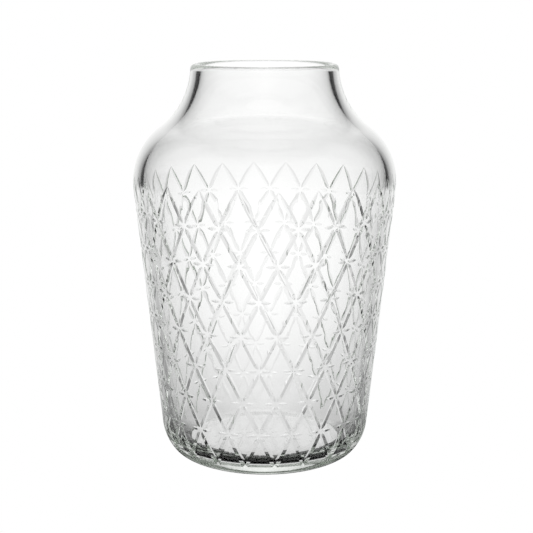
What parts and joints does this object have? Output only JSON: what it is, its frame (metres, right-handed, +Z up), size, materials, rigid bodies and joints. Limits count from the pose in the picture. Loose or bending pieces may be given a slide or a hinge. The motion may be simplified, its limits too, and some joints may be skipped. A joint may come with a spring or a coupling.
{
  "type": "vase",
  "caption": "Tall footless cut crystal flower vase with a diamond-cut tapering body, rounded shoulder and plain waisted neck.",
  "frame": {"origin": "centre of the foot's flat resting face, on the plane the vase stands on", "axes": "+Z up along the axis of the vase, from foot to rim; -Y is the front"},
  "size_m": [0.1662, 0.1662, 0.25],
  "materials": {
    "crystal": "polished clear"
  },
  "bodies": {
    "root": {"vase_body": "crystal"}
  },
  "joints": []
}
